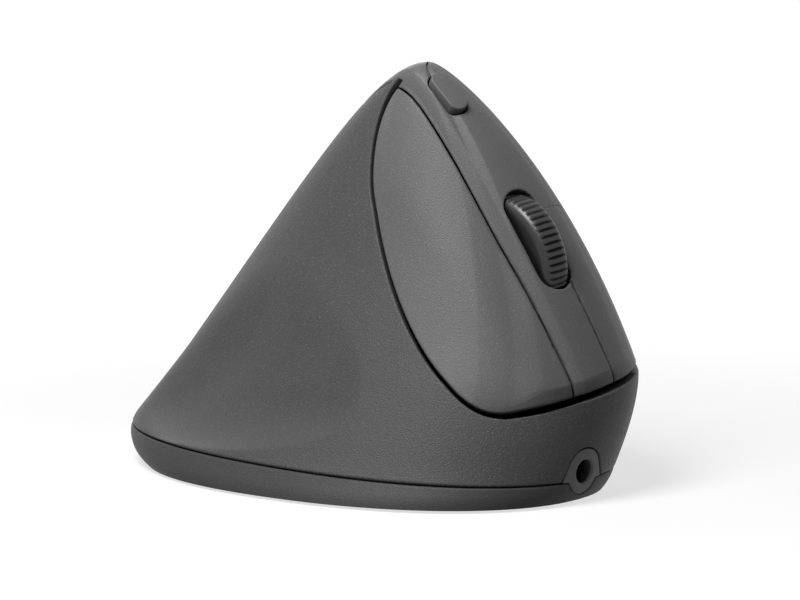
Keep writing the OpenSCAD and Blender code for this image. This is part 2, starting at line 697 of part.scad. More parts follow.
// A button switch with a raised band, two pin holes and a well for its push pin
band_w = 3.2;
band_h = 0.3;
peg_y = 3.2;
peg_z = 1.6;
peg_r = 0.9;
module button_switch(x) {
    color("#232427") on_spine() translate([x, button_switch_y, board_z]) difference() {
        union() {
            translate([-switch_w / 2, -switch_l / 2, 0]) cube([switch_w, switch_l, switch_h]);
            translate([-switch_w / 2, -band_w / 2, switch_h / 2])
                cube([switch_w, band_w, switch_h / 2 + band_h]);
        }
        translate([0, 0, switch_h / 2]) cylinder(r = pin_r + pin_fit, h = switch_h);
        for (s = [-1, 1]) translate([-far / 2, s * peg_y, peg_z]) rotate([0, 90, 0])
            cylinder(r = peg_r, h = far);
    }
}
module push_pin(x) {
    foot = board_z + switch_h / 2 + pin_travel + pin_play;
    color("#b9443c") on_spine() translate([x, button_switch_y, foot]) cylinder(r = pin_r, h = pin_top_z - foot);
}
module primary_switch() { button_switch(primary_switch_x); }
module secondary_switch() { button_switch(secondary_switch_x); }
module primary_plunger() { push_pin(primary_switch_x); }
module secondary_plunger() { push_pin(secondary_switch_x); }

// A small square switch with a round push pin
module tact_body() {
    difference() {
        translate([-tact_w / 2, -tact_w / 2, 0]) cube([tact_w, tact_w, tact_h]);
        translate([0, 0, tact_floor]) cylinder(r = tact_pin_r + pin_fit, h = tact_h);
    }
}
module tact_pin() {
    foot = tact_floor + pin_travel + pin_play;
    translate([0, 0, foot]) cylinder(r = tact_pin_r, h = tact_h + tact_pin_rise - foot);
}
module wheel_switch() { color("#232427") on_spine() translate([wheel_switch_x, 0, board_z]) tact_body(); }
module wheel_plunger() { color("#8a8d91") on_spine() translate([wheel_switch_x, 0, board_z]) tact_pin(); }
module dpi_switch() { color("#232427") at_dpi_switch() tact_body(); }
module dpi_plunger() { color("#8a8d91") at_dpi_switch() tact_pin(); }

board_top = floor_z + board_stand + board_t;
chip_size = [10, 12, 2.6];
chip_stand = 0.1;
module sensor_chip() {
    color("#1a1a1c") translate([-chip_size[0] / 2, sensor_y - chip_size[1] / 2, board_top + chip_stand])
        cube(chip_size);
}
lens_r = 6;
lens_rim_t = 1.2;
lens_dome_r = 2.6;
lens_seat = 0.05;
module sensor_lens() {
    color("#c9d6de") translate([0, sensor_y, floor_z]) rotate_extrude()
        polygon([[0, -base_floor / 2], [sensor_hole_r - fit, -base_floor / 2], [sensor_hole_r - fit, lens_seat],
            [lens_r, lens_seat], [lens_r, lens_rim_t], [lens_dome_r, 2 * lens_rim_t],
            [0, 2 * lens_rim_t + chip_stand]]);
}
header_size = [10, 5, 5.5];
header_wall = 1;
module cable_header() {
    corner = [header_wall - board_size[0] / 2, board_y + header_wall - board_size[1] / 2, board_top];
    color("#d8d6cf") translate(corner) difference() {
        cube(header_size);
        translate([1, -1, 1] * header_wall) cube(header_size - [2 * header_wall, 0, 0]);
    }
}
head_h = 1.6;
cross_w = 0.5;
cross_d = 0.8;
// The cross in a screw's head, sunk below a level
module cross_slot(r) {
    for (a = [0, 90]) rotate([0, 0, a]) translate([-r, -cross_w / 2, 0]) cube([2 * r, cross_w, 2 * cross_d]);
}
module case_screws() {
    color("#8d9196") screw_places() translate([0, 0, screw_seat - head_h]) difference() {
        union() {
            cylinder(r = screw_head_r, h = head_h);
            cylinder(r = screw_r, h = head_h + screw_l);
        }
        translate([0, 0, -cross_d]) cross_slot(screw_head_r * 0.62);
    }
}
pan_l = 3.6;
pan_head_h = 1.1;
pan_rim = 0.9;
module board_screws() {
    color("#8d9196") {
        board_posts() translate([0, 0, board_top]) pan_screw(screw_r);
        on_spine() for (m = board_screw_marks) translate([m[0], m[1], board_z]) pan_screw(board_screw_r);
    }
}
module pan_screw(r) {
    difference() {
        union() {
            cylinder(r = r + pan_rim, h = pan_head_h);
            translate([0, 0, -pan_l]) cylinder(r = r, h = pan_l + pan_head_h);
        }
        translate([0, 0, pan_head_h / 2]) cross_slot((r + pan_rim) * 0.62);
    }
}
module glide_feet() { color("#151516") linear_extrude(foot_t) feet_outline(0); }

main_shell();
base_plate();
spine_cover();
primary_button();
secondary_button();
dpi_button();
wheel_tyre();
wheel_hub();
wheel_cradle();
wheel_encoder();
cradle_bracket();
button_board();
board_frame();
main_board();
primary_switch();
secondary_switch();
wheel_switch();
dpi_switch();
primary_plunger();
secondary_plunger();
wheel_plunger();
dpi_plunger();
sensor_chip();
sensor_lens();
cable_header();
cable_grommet();
case_screws();
board_screws();
glide_feet();
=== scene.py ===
# %% [markdown]
# # A fin-shaped vertical mouse
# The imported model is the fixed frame: every node sits where the moulds put it, in metres. This lesson dresses
# it. The faceted housing panels are modelled again as smooth moulded skins, the wheel gets its ribbed tread, and
# every surface gets a finish built from nodes.

# %% Load the frame
import json
import bpy
import bmesh
import numpy as np
from mathutils import Matrix, Vector


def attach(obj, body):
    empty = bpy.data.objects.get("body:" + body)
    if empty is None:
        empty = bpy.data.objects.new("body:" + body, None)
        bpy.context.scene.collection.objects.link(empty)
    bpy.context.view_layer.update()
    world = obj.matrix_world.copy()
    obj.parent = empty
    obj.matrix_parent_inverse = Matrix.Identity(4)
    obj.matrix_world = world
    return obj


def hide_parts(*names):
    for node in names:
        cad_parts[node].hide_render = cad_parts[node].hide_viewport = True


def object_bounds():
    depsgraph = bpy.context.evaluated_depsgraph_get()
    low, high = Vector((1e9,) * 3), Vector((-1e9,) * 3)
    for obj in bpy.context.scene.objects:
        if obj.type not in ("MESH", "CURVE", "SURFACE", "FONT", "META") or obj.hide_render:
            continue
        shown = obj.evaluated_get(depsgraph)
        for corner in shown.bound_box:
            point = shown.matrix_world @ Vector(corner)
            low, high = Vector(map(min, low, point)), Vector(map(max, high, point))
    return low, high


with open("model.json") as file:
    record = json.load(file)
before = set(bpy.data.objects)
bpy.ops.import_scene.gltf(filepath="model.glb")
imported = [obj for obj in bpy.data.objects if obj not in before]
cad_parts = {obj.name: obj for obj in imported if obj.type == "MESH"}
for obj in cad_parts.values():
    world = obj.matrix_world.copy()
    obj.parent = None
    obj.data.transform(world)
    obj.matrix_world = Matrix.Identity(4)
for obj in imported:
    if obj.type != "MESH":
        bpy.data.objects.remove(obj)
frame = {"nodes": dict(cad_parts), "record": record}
cad_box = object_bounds()
MM = 0.001

# %% [markdown]
# ## The camera
# The mouse is seen from its thumb side, a little to the front and just above the table, with a long lens that
# hardly bends the outline. A look-at quaternion aims the camera at the middle of the body, and a small shift
# slides the picture without turning the view.

# %% Camera
VIEW_TURN, VIEW_RISE, VIEW_FAR = np.radians(-53.0), np.radians(7.0), 600.0
aim = np.array([0.0, -1.6, 35.0])
back = np.array([np.sin(VIEW_TURN) * np.cos(VIEW_RISE), -np.cos(VIEW_TURN) * np.cos(VIEW_RISE), np.sin(VIEW_RISE)])
camera = bpy.data.objects.new("camera", bpy.data.cameras.new("camera"))
bpy.context.scene.collection.objects.link(camera)
camera.data.lens = 151.2
camera.data.sensor_width = 36.0
camera.data.shift_x = 0.0276
camera.data.shift_y = -0.0261
camera.data.clip_start, camera.data.clip_end = 0.01, 50.0
camera.location = Vector(aim + VIEW_FAR * back) * MM
camera.rotation_mode = "QUATERNION"
camera.rotation_quaternion = Vector(-back).to_track_quat("-Z", "Y")
bpy.context.scene.camera = camera
print("camera at", [round(c, 3) for c in camera.location])

# %% [markdown]
# ## The form of the body
# The real housing is one flowing fin, and the panels are cut out of it. So one formula gives the whole skin:
# at each height, four side profiles (thumb, finger, front and back) set a rounded level section, and a bearing
# called the turn runs round it from the front towards the thumb. Every panel below asks this formula for its
# points, so neighbours always meet.

# %% The skin formula
BODY_H, PEAK_X, PEAK_Y = 74.0, 3.9, -9.9
THUMB, FINGER = (PEAK_X, -7.9, 0.3, -33.8), (PEAK_X, 10.9, 28.8, 37.9)
FRONT, BACK = (PEAK_Y, -14.2, -40.6, -56.9), (PEAK_Y, -1.2, 24.8, 54.3)
SQUARENESS = 2.2
FOOT_TUCK, FOOT_TUCK_H = 0.8, 3.0
BACK_TUCK, BACK_TUCK_H = 12.7, 8.8
FRONT_TUCK, FINGER_TUCK, FRONT_TUCK_H = 10.2, 9.8, 21.0


def mix(a, b, s):
    return a + (b - a) * s


def ease(s):
    return s * s * (3 - 2 * s)


def curve(c, s):
    return c[0] * (1 - s) ** 3 + 3 * c[1] * s * (1 - s) ** 2 + 3 * c[2] * s * s * (1 - s) + c[3] * s ** 3


def down(z):
    return np.sqrt(np.clip(1 - z / BODY_H, 0, 1))


def height_at(s):
    return BODY_H * (1 - s * s)


def bulge(s):
    return np.sign(s) * np.abs(s) ** (2 / SQUARENESS)


def section(z):
    foot = FOOT_TUCK * np.clip(1 - z / FOOT_TUCK_H, 0, None) ** 2
    under = np.clip(1 - z / FRONT_TUCK_H, 0, None) ** 1.25
    w = down(z)
    thumb = curve(THUMB, w) + foot
    finger = curve(FINGER, w) - foot - FINGER_TUCK * under
    front = curve(FRONT, w) + foot + FRONT_TUCK * under
    rear = curve(BACK, w) - foot - BACK_TUCK * np.clip(1 - z / BACK_TUCK_H, 0, None) ** 2
    return (thumb + finger) / 2, (finger - thumb) / 2, (front + rear) / 2, (rear - front) / 2


def skin(turn, z):
    mid_x, half_x, mid_y, half_y = section(z)
    t = np.radians(turn)
    return np.stack([mid_x - half_x * bulge(np.sin(t)), mid_y - half_y * bulge(np.cos(t)), z + 0 * t], -1)


def unit(v):
    return v / np.linalg.norm(v, axis=-1, keepdims=True)


def along_turn(turn, z):
    return skin(turn + 1, z) - skin(turn - 1, z)


def along_rise(turn, z):
    return skin(turn, height_at(down(z) - 0.01)) - skin(turn, height_at(down(z) + 0.01))


def skin_out(turn, z):
    return unit(np.cross(along_rise(turn, z), along_turn(turn, z)))


def front_point(x, z):
    mid_x, half_x, _, _ = section(z)
    s = np.clip((mid_x - x) / half_x, -1, 1)
    return skin(np.degrees(np.arcsin(np.sign(s) * np.abs(s) ** (SQUARENESS / 2))), z)


print("widest level:", [round(float(v), 1) for v in section(np.float64(12.0))])

# %% [markdown]
# ## The seams
# One closed seam runs under the front ends of the buttons, sweeps up the thumb side in an arch to the peak, and
# comes down over the back and the finger side. The seam is a list of marks in bearing and height. Moving it aside
# on the skin gives both of its edges, which is how a mould maker keeps a gap even.

# %% Seam marks
FRONT_STEPS, ARCH_STEPS, BACK_STEPS = 10, 18, 28
SEAM_STEPS = FRONT_STEPS + ARCH_STEPS + BACK_STEPS
LINE_Z, LINE_FALL = 19.55, 0.093
ARCH = np.array([(38.0, LINE_Z - LINE_FALL * 38), (63.4, LINE_Z - LINE_FALL * 63.4),
                 (85.5, 44.8), (107.5, BODY_H - 2.7)])
FINGER_CORNER = (343.0, LINE_Z + LINE_FALL * 17)
SEAM_GAP, FRONT_GAP, SPINE_GAP = 0.6, 1.2, 0.5
PARTING_Z, PARTING_RISE, PARTING_GAP = 5.4, np.tan(np.radians(1.6)), 0.2


def seam_mark(i):
    k = np.mod(i, SEAM_STEPS)
    front_turn = mix(FINGER_CORNER[0] - 360, ARCH[0, 0], k / FRONT_STEPS)
    a = np.clip((k - FRONT_STEPS) / ARCH_STEPS, 0, 1)
    b = np.clip((k - FRONT_STEPS - ARCH_STEPS) / BACK_STEPS, 0, 1)
    turn = np.where(k < FRONT_STEPS, front_turn,
                    np.where(b > 0, mix(ARCH[3, 0], FINGER_CORNER[0], b), curve(ARCH[:, 0], a)))
    z = np.where(k < FRONT_STEPS, LINE_Z - LINE_FALL * front_turn,
                 np.where(b > 0, mix(ARCH[3, 1], FINGER_CORNER[1], ease(b)), curve(ARCH[:, 1], a)))
    return turn, z


def seam_half(i):
    k = np.mod(i, SEAM_STEPS) - FRONT_STEPS
    wide = np.clip((k + 1) / 5, 0, 1)
    last = np.clip(k + FRONT_STEPS - SEAM_STEPS + 2, 0, 1)
    return mix(FRONT_GAP, SEAM_GAP, np.clip(wide - last, 0, 1)) / 2


def seam_beside(i, aside):
    turn, z = seam_mark(i)
    run = skin(*seam_mark(i + 1)) - skin(*seam_mark(i - 1))
    step = aside[..., None] * unit(np.cross(run, skin_out(turn, z)))
    a = along_turn(turn, z) / 2
    b = along_rise(turn, z) / (height_at(down(z) - 0.01) - height_at(down(z) + 0.01))[..., None]
    dot = lambda p, q: (p * q).sum(-1)
    det = dot(a, a) * dot(b, b) - dot(a, b) ** 2
    return (turn + (dot(step, a) * dot(b, b) - dot(step, b) * dot(a, b)) / det,
            z + (dot(step, b) * dot(a, a) - dot(step, a) * dot(a, b)) / det)


def parting_at(y):
    return PARTING_Z + y * PARTING_RISE


print("seam top at", np.round(skin(*seam_mark(np.float64(FRONT_STEPS + ARCH_STEPS))), 1))

# %% [markdown]
# ## Tools for the panels
# A skin panel starts as a flat grid from `create_grid`, whose vertices are then moved onto the formula. Straight
# edges and holes are cut with `bisect_plane`. The lip at every cut edge is rounded by letting the vertices sink as
# they near the edge, and extruding the skin inwards makes it a wall with a thickness. The smooth skin bulges a hair
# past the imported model's flat facets, so it is drawn in by that hair to stay inside that model's box.

# %% Panel helpers
skin_cloud = skin(*np.meshgrid(np.linspace(0, 360, 241), np.linspace(0.5, BODY_H, 241))).reshape(-1, 3)
skin_box = np.array([skin_cloud.min(0), skin_cloud.max(0)])
HOLD = np.minimum(1.0, (np.array(cad_box) / MM / np.where(skin_box == 0, 1, skin_box))[:, :2].min(0) - 0.0005)
HOLD = np.append(HOLD, min(1.0, cad_box[1][2] / MM / BODY_H))
print("drawn in by", np.round(1 - HOLD, 4))


def grid(columns, rows, place, ring=False, hold=1.0):
    """A bmesh grid whose corners run 0 to 1 each way, moved onto place(u, v) in millimetres. The skin's outward
    direction, which place gives too, is kept on every vertex for the lips and the wall."""
    bm = bmesh.new()
    bmesh.ops.create_grid(bm, x_segments=columns, y_segments=rows, size=1)
    out = bm.verts.layers.float_vector.new("out")
    flat = np.array([v.co for v in bm.verts])
    u = np.round((flat[:, 0] + 1) / 2 * columns) / columns
    v = np.round((flat[:, 1] + 1) / 2 * rows) / rows
    points, outward = place(u, v)
    for vert, p, n in zip(bm.verts, points * hold * MM, outward):
        vert.co, vert[out] = p, n
    if ring:
        bmesh.ops.remove_doubles(bm, verts=bm.verts[:], dist=1e-7)
    bmesh.ops.dissolve_degenerate(bm, dist=1e-8, edges=bm.edges[:])
    bmesh.ops.recalc_face_normals(bm, faces=bm.faces[:])
    if sum(f.normal.dot(f.verts[0][out]) for f in bm.faces) < 0:
        bmesh.ops.reverse_faces(bm, faces=bm.faces[:])
    return bm


def spots(bm):
    return np.array([v.co for v in bm.verts]) / MM


def slice_off(bm, point, normal, faces=None, clear=True):
    """Cuts faces with a plane and, if asked, removes what lies on the normal's side."""
    faces = faces or bm.faces[:]
    geom = list({e for f in faces for e in f.edges} | {v for f in faces for v in f.verts}) + list(faces)
    cut = bmesh.ops.bisect_plane(bm, geom=geom, dist=1e-8, plane_co=Vector(point) * MM,
                                 plane_no=Vector(normal), clear_outer=clear)
    return [g for g in cut["geom"] if isinstance(g, bmesh.types.BMFace) and g.is_valid]


def centres(faces):
    return np.array([f.calc_center_median() for f in faces]).reshape(-1, 3) / MM


def cut_room(bm, planes, near=None):
    """Removes the part of a skin that lies behind every one of some planes, each a point and an outward normal."""
    faces = bm.faces[:]
    if near is not None:
        faces = [f for f, keep in zip(faces, near(centres(faces))) if keep]
    for point, normal in planes:
        faces = slice_off(bm, point, normal, faces, clear=False)
    c = centres(faces)
    inside = np.all([(c - np.array(p)) @ np.array(n) < 0 for p, n in planes], axis=0)
    bmesh.ops.delete(bm, geom=[f for f, gone in zip(faces, inside) if gone], context="FACES")


def round_lip(bm, distance, radius):
    """Sinks the vertices near a cut edge along a quarter circle, so that the edge catches the light."""
    out = bm.verts.layers.float_vector["out"]
    d = np.clip(distance(spots(bm)), 0, radius)
    sink = radius - np.sqrt(radius ** 2 - (radius - d) ** 2)
    for vert, s in zip(bm.verts, sink):
        if s > 0:
            vert.co -= vert[out] * (float(s) * MM)


def thicken(bm, wall):
    """Gives a skin its wall: the skin is extruded onto itself, and the copy moves inwards. The inner wall is marked,
    because it is painted black as painted shade, so that no light shows through the gaps."""
    inside = bm.verts.layers.float.new("inside")
    out = bm.verts.layers.float_vector["out"]
    inner = bmesh.ops.extrude_face_region(bm, geom=bm.faces[:], use_keep_orig=True)
    for g in inner["geom"]:
        if isinstance(g, bmesh.types.BMVert):
            g.co -= g[out].normalized() * (wall * MM)
            g[inside] = 1.0
    bmesh.ops.recalc_face_normals(bm, faces=bm.faces[:])
    for e in bm.edges:
        if len(e.link_faces) == 2 and e.calc_face_angle(0) > 0.7:
            e.smooth = False


PIECES = []


def finish_piece(bm, name, body, slot, *nodes):
    mesh = bpy.data.meshes.new(name)
    for f in bm.faces:
        f.smooth = True
    bm.normal_update()
    bm.to_mesh(mesh)
    bm.free()
    piece = bpy.data.objects.new(name, mesh)
    bpy.context.scene.collection.objects.link(piece)
    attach(piece, body)
    if nodes:
        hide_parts(*nodes)
    PIECES.append((piece, slot))
    print(name, len(mesh.polygons), "faces")


# %% [markdown]
# ## Frames on the ridge
# The wheel sits square to the ridge and leans a little towards the thumb, so its slot is easiest to draw in a frame
# that lies on the ridge: across, up the ridge and out of it. The oblong button near the peak has such a frame too.

# %% Ridge and peak frames
def tilted(slope, lean):
    """Axes that lie on the ridge: across it, up it and out of it."""
    s, t = np.radians(slope), np.radians(lean)
    across = np.array([np.cos(t), -np.sin(t) * np.sin(s), np.sin(t) * np.cos(s)])
    up = np.array([0, np.cos(s), np.sin(s)])
    return np.array([across, up, np.cross(across, up)])


WHEEL_R, WHEEL_W, WHEEL_PROUD, WHEEL_X, WHEEL_Z = 11.5, 5.5, 3.2, 1.7, 44.4
SLOT_L, SLOT_W = 19.5, 6.8
RIDGE = tilted(57.5, 18.0)
CREST = WHEEL_R - WHEEL_PROUD
AXLE = front_point(np.float64(WHEEL_X), np.float64(WHEEL_Z)) - CREST * RIDGE[2]
DPI_L, DPI_W, DPI_PROUD, DPI_GAP = 8.6, 3.6, 0.8, 0.3
DPI_AT = front_point(np.float64(0.9), np.float64(BODY_H - 5.2))
PEAK = tilted(44.0, 24.0)


def on_ridge(p):
    return (p - AXLE) @ RIDGE.T


def on_peak(p):
    return (p - DPI_AT) @ PEAK.T


def oblong_distance(x, y, length, width):
    return np.hypot(x, np.clip(np.abs(y) - (length - width) / 2, 0, None)) - width / 2


def oblong_planes(axes, at, length, width, steps=9):
    """The sides of an oblong hole as planes: one at each side and a fan round each end."""
    planes = []
    for end in (-1, 1):
        for k in range(steps + 1):
            a = np.pi * k / steps
            n = np.cos(a) * axes[0] + end * np.sin(a) * axes[1]
            planes.append((at + end * (length - width) / 2 * axes[1] + width / 2 * n, n))
    return planes


print("axle", np.round(AXLE, 1), "small button", np.round(DPI_AT, 1))

# %% [markdown]
# ## The main shell
# The shell is the grained outer body: it carries the thumb dish, ends in a crisp edge along the seam, and stops at
# the parting line above the base. Its columns lean so that they end square on the seam. The dish is pressed into
# the formula, with a crisp rim towards the front that fades towards the back and the top, as a thumb would want.

# %% Main shell
DISH_DEPTH, DISH_TURN, DISH_Z = 3.5, 118.0, 16.0
DISH_FRONT, DISH_BACK, DISH_UP, DISH_DOWN = 40.0, 34.0, 23.5, 9.6
SHELL_WALL, LIP = 2.0, 0.35


def dish(turn, z):
    side = (turn - DISH_TURN) / np.where(turn < DISH_TURN, DISH_FRONT, DISH_BACK)
    rise = (z - DISH_Z) / np.where(z > DISH_Z, DISH_UP, DISH_DOWN)
    power = mix(2.5, 1.75, ease(np.clip((z - DISH_Z) / 8 + 0.5, 0, 1)))
    reach = np.clip(np.abs(side) ** power + np.abs(rise) ** power, 0, 1)
    fade = np.clip(np.clip(side, 0, None) + np.clip(rise, 0, None), 0, 1)
    return DISH_DEPTH * (1 - reach) ** mix(0.9, 2.0, fade)


shell_rows = [("top", LIP * (1 - np.sin(a)), LIP * (1 - np.cos(a))) for a in np.radians([90, 66, 42, 20])]
shell_rows += [("side", s, 0.0) for s in np.linspace(1, 0, 96)]
shell_rows += [("foot", LIP * (1 - np.sin(a)), LIP * (1 - np.cos(a))) for a in np.radians([20, 42, 66, 90])]


def shell_place(u, v):
    i = u * SEAM_STEPS
    row = np.round(v * (len(shell_rows) - 1)).astype(int)
    kind = np.array([r[0] for r in shell_rows])[row]
    amount = np.array([r[1] for r in shell_rows])[row]
    inset = np.array([r[2] for r in shell_rows])[row]
    aside = np.where(kind == "top", amount, LIP)
    top_turn, top_z = seam_beside(i, -seam_half(i) - aside)
    even = mix(FINGER_CORNER[0] - 360, FINGER_CORNER[0], u)
    s = np.where(kind == "top", 1.0, np.where(kind == "foot", 0.0, amount))
    turn = mix((even + top_turn) / 2, top_turn, s)
    foot_z = parting_at(skin(turn, PARTING_Z + 0 * turn)[:, 1]) + PARTING_GAP / 2
    foot_z = foot_z + np.where(kind == "foot", amount, LIP)
    z = mix(foot_z, top_z, s)
    out = skin_out(turn, z)
    return skin(turn, z) - (inset + dish(turn, z))[:, None] * out, out


COLLAR_X, COLLAR_Z, COLLAR_R, COLLAR_FLARE, LEAD_R, FIT = -2.6, 5.6, 4.0, 1.2, 2.0, 0.15
SHOULDER_TURN, COLLAR_LIP = 0.35, 0.25
collar_at = front_point(np.float64(COLLAR_X), np.float64(COLLAR_Z))
collar_foot = parting_at(collar_at[1]) - COLLAR_Z


def round_planes(grow):
    fan = [np.array([np.cos(a), 0, np.sin(a)]) for a in np.linspace(0, 2 * np.pi, 32, endpoint=False)]
    return [(collar_at + (COLLAR_R + grow) * n, n) for n in fan]


def flare_planes(grow):
    """The two spreading feet of the collar: the room between its shoulders and the parting line."""
    r = COLLAR_R + grow
    high = r * np.array([np.cos(SHOULDER_TURN), np.sin(SHOULDER_TURN)])
    low = np.array([r + COLLAR_FLARE, collar_foot])
    side = unit(np.array([high[1] - low[1], 0, low[0] - high[0]]))
    tip = collar_at + np.array([low[0], 0, low[1]])
    mirrored = side * np.array([-1, 1, 1])
    return [(tip, side), (tip - np.array([2 * low[0], 0, 0]), mirrored), (tip, np.array([0, 0, -1.0])),
            (collar_at + np.array([0, 0, high[1]]), np.array([0, 0, 1.0]))]


def collar_distance(p, grow):
    rooms = [np.max([(p - at) @ n for at, n in planes], axis=0)
             for planes in (round_planes(grow), flare_planes(grow))]
    return np.where(p[:, 1] > collar_at[1] + 6, 9.0, np.minimum(*rooms))


def near_collar(c):
    return (np.abs(c[:, 0] - COLLAR_X) < 9) & (c[:, 1] < collar_at[1] + 6) & (c[:, 2] < 18)


def make_room_for_collar(bm):
    cut_room(bm, round_planes(FIT), near_collar)
    cut_room(bm, flare_planes(FIT), near_collar)
    round_lip(bm, lambda p: collar_distance(p, FIT), COLLAR_LIP)


shell = grid(420, len(shell_rows) - 1, shell_place, ring=True, hold=HOLD)
make_room_for_collar(shell)
thicken(shell, SHELL_WALL)
finish_piece(shell, "shell_skin", "housing", "shell_plastic", "main_shell")

# %% [markdown]
# ## The base
# Below the parting line sits a shallow tray. Seen from the side it is a thin dark band whose foot tucks under;
# seen from below it is flat, with three screw wells and a window for the sensor. One grid runs from the parting line
# down the side and in across the bottom to a pole in the middle.

# %% Base tray
BASE_LIFT, BASE_WALL = 0.5, 1.9
SCREWS = [(4.0, 37.5), (-14.0, -20.0), (19.0, -9.5)]
SCREW_WELL_R, SENSOR_AT, SENSOR_R = 2.25, (0.0, 4.4), 3.0
base_rows = [("rim", LIP * (1 - np.sin(a)), LIP * (1 - np.cos(a))) for a in np.radians([90, 60, 30])]
base_rows += [("side", s, 0.0) for s in np.linspace(0, 1, 22)]
base_rows += [("floor", s, 0.0) for s in np.linspace(0.985, 0.0, 24)]


def base_place(u, v):
    turn = u * 360
    row = np.round(v * (len(base_rows) - 1)).astype(int)
    kind = np.array([r[0] for r in base_rows])[row]
    amount = np.array([r[1] for r in base_rows])[row]
    inset = np.array([r[2] for r in base_rows])[row]
    rim_z = parting_at(skin(turn, PARTING_Z + 0 * turn)[:, 1]) - PARTING_GAP / 2
    z = np.where(kind == "rim", rim_z - amount, mix(rim_z - LIP, BASE_LIFT, np.where(kind == "side", amount, 1.0)))
    out = skin_out(turn, z)
    p = skin(turn, z) - inset[:, None] * out
    share = np.where(kind == "floor", amount, 1.0)
    p[:, :2] *= share[:, None]
    under = 0.5 + 0.5 * np.clip((1 - share) * 8, 0, 1)
    low = np.where(kind == "floor", under, 0.5 * np.clip(1 - (z - BASE_LIFT) / BASE_WALL, 0, 1))
    return p, unit(mix(out, np.array([0, 0, -1.0]), low[:, None]))


def disc_planes(x, y, r, steps=20):
    return [(np.array([x + r * np.cos(a), y + r * np.sin(a), 0]), np.array([np.cos(a), np.sin(a), 0]))
            for a in np.linspace(0, 2 * np.pi, steps, endpoint=False)]


base = grid(300, len(base_rows) - 1, base_place, ring=True, hold=HOLD)
for x, y, r in [(*s, SCREW_WELL_R) for s in SCREWS] + [(*SENSOR_AT, SENSOR_R)]:
    cut_room(base, disc_planes(x, y, r),
             lambda c: (np.hypot(c[:, 0] - x, c[:, 1] - y) < r + 4) & (c[:, 2] < BASE_LIFT + 0.4))
make_room_for_collar(base)
thicken(base, BASE_WALL)
finish_piece(base, "base_tray", "housing", "base_plastic", "base_plate")

# %% [markdown]
# ## The panels above the seam
# Everything above the seam is cut from one lid: the raised spine with the finger side, the large panel on the thumb
# side and the panel on the finger side. The lid's rows run from the seam to the peak. The thumb panel lies a step
# lower than the spine, and a long bevel leads up from that step to the spine's crest.

# %% The lid
SPINE_STEP, SPINE_BEVEL_W, END_BEVEL, LID_WALL = 0.8, 2.0, 0.7, 1.6
spine_foot = front_point(np.float64(-3.6), np.float64(ARCH[0, 1] + 3))
spine_mid = front_point(np.float64(-3.3), np.float64(mix(ARCH[0, 1], ARCH[3, 1], 0.64)))
spine_top = skin(np.float64(ARCH[3, 0] + 2.5), np.float64(ARCH[3, 1] - 0.6))
SPINE_ACROSS = unit(np.cross(spine_top - spine_foot, spine_mid - spine_foot))
arch_marks = skin(*seam_mark(np.arange(FRONT_STEPS, FRONT_STEPS + ARCH_STEPS - 1).astype(float)))
PANEL_CORNER = np.array([spine_top[0] + 0.4, arch_marks[:, 1].max() + 0.3, ARCH[3, 1] - 1.3])


def beside_spine(p):
    return (p - spine_foot) @ SPINE_ACROSS


def lid_sink(p):
    off = beside_spine(p)
    bevel = SPINE_STEP * np.clip(1 - off / SPINE_BEVEL_W, 0, 1)
    fall = SPINE_STEP * (1 - ease(np.clip(-off / 9, 0, 1)))
    beyond = ease(np.clip((p[..., 1] - spine_top[1] + 1) / 4, 0, 1))
    return np.where(off > 0, bevel, fall) * (1 - beyond)


lid_edge = [LIP * (1 - np.sin(a)) for a in np.radians([90, 66, 42, 20, 0])]
lid_edge += [0.8, 1.3, 1.8, 2.15, 2.4, 2.6, 3.0]
LID_ROWS = len(lid_edge) + 84


def lid_place(u, v):
    i = u * SEAM_STEPS
    row = np.round(v * LID_ROWS).astype(int)
    edge = np.array(lid_edge + [3.0] * (LID_ROWS + 1 - len(lid_edge)))[row]
    k = np.where(i < SEAM_STEPS / 2, i, i - SEAM_STEPS)
    straight = ease(np.clip(k / 2, 0, 1)) * ease(np.clip((FRONT_STEPS - k) / 3, 0, 1))
    edge = np.where(edge > 0.5, 0.5 + (edge - 0.5) * mix(0.2, 1.0, straight), edge)
    turn, z = seam_beside(i, seam_half(i) + edge)
    up = np.clip((row - len(lid_edge) + 1) / (LID_ROWS + 1 - len(lid_edge)), 0, 1)
    z = height_at(mix(down(z), 0.0005, up))
    front = np.clip((FRONT_STEPS + 3 - k) / 3, 0, 1) * np.clip(k / 3, 0, 1)
    lip = np.clip(edge, 0, LIP)
    sink = LIP - np.sqrt(LIP ** 2 - (LIP - lip) ** 2) + END_BEVEL * front * np.clip(1 - edge / 2.4, 0, 1)
    p, out = skin(turn, z), skin_out(turn, z)
    return p - (sink + lid_sink(p))[:, None] * out, out


def make_lid():
    return grid(420, LID_ROWS, lid_place, ring=True, hold=HOLD)


def panel_planes(foot, top):
    """The thumb panel's room, grown by a gap that runs from one width at the foot to another at the top."""
    rise = unit(spine_top - spine_foot)
    across = unit(SPINE_ACROSS - (top - foot) / np.linalg.norm(spine_top - spine_foot) * rise)
    return [(spine_foot + foot * SPINE_ACROSS, across)] + [(PANEL_CORNER + top, np.eye(3)[k]) for k in range(3)]


def panel_room(p, foot, top):
    """Signed distance to the thumb panel's room: negative inside it."""
    return np.max([(p - at) @ n for at, n in panel_planes(foot, top)], axis=0)


# %% [markdown]
# ## The thumb-side panel
# This is the large panel that the index finger presses. It is the lid with everything beyond the spine's edge sliced
# away. The gap is narrow at the top, where the panel bends, and wider at its free end, where it moves most.

